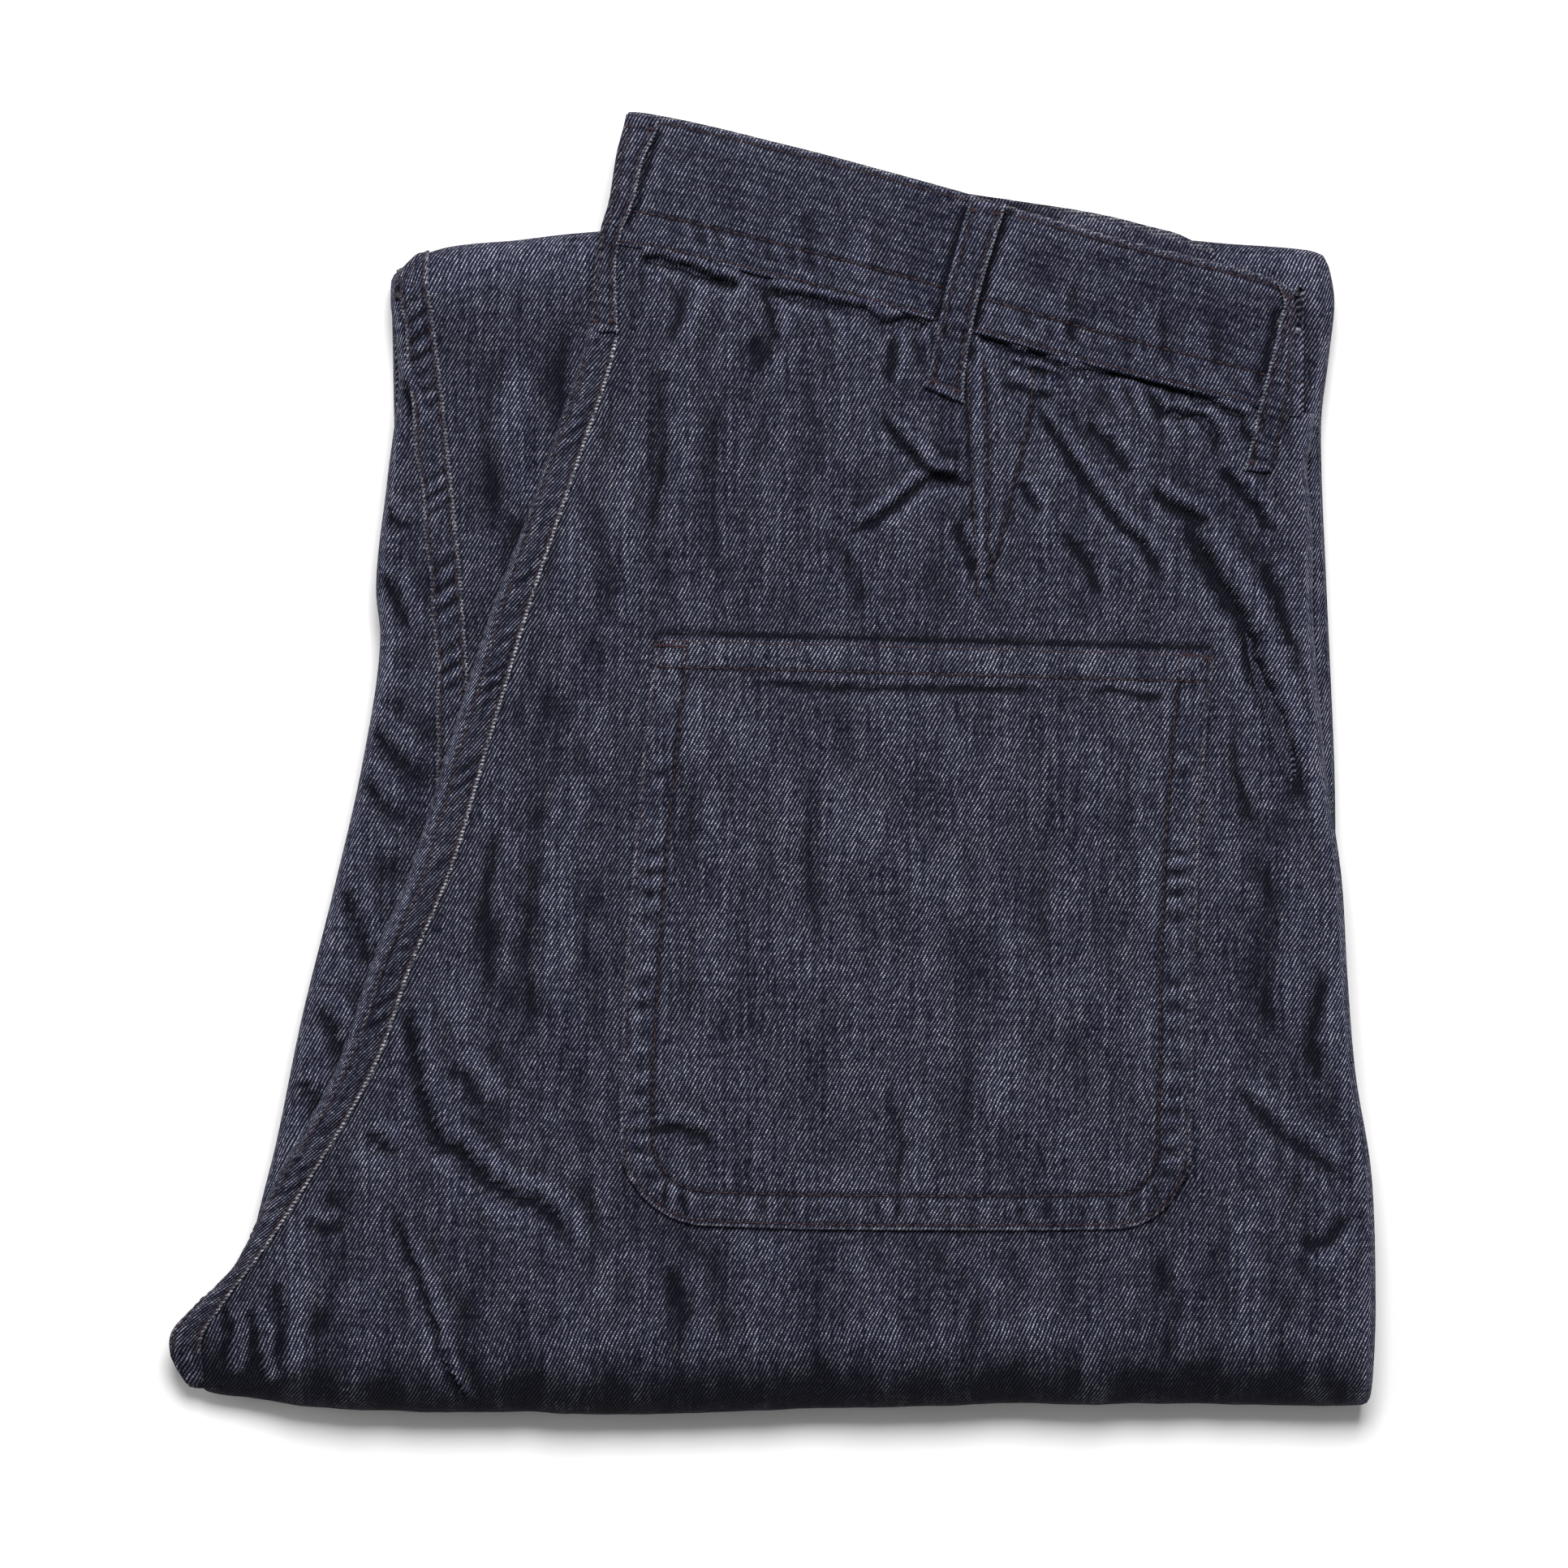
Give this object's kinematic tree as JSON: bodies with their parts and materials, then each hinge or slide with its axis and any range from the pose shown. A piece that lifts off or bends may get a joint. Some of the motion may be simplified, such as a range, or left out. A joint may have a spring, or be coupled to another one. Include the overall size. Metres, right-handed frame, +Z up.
{
  "type": "folded trousers",
  "caption": "Dark denim trousers folded flat, right back up, with a patch pocket, curved waistband and belt loops.",
  "frame": {"origin": "on the surface that the folded trousers lie on, under the middle of their outline", "axes": "+Z up from that surface, +Y toward the waistband, +X toward the side seam of the right leg"},
  "size_m": [0.3735, 0.4026, 0.0312],
  "materials": {
    "denim": "heavy indigo-black slub denim, 3 by 1 right-hand twill, unwashed",
    "waistband": "the same denim with its grain across, two plies",
    "pocket": "the same denim, one ply on the back panel"
  },
  "bodies": {
    "root": {"hidden_leg_layers": "denim", "hidden_seat_layers": "denim", "back_right": "denim", "back_left": "denim", "seat_seam": "denim", "leg_left_back": "denim", "leg_left_front": "denim", "inseam": "denim", "waistband_right_back": "waistband", "waistband_right_front": "waistband", "waistband_left_front": "waistband", "waistband_left_back": "waistband", "loop_back_centre": "waistband", "loop_back_side": "waistband", "loop_side_seam": "waistband", "pocket_back_right": "pocket"}
  },
  "joints": []
}
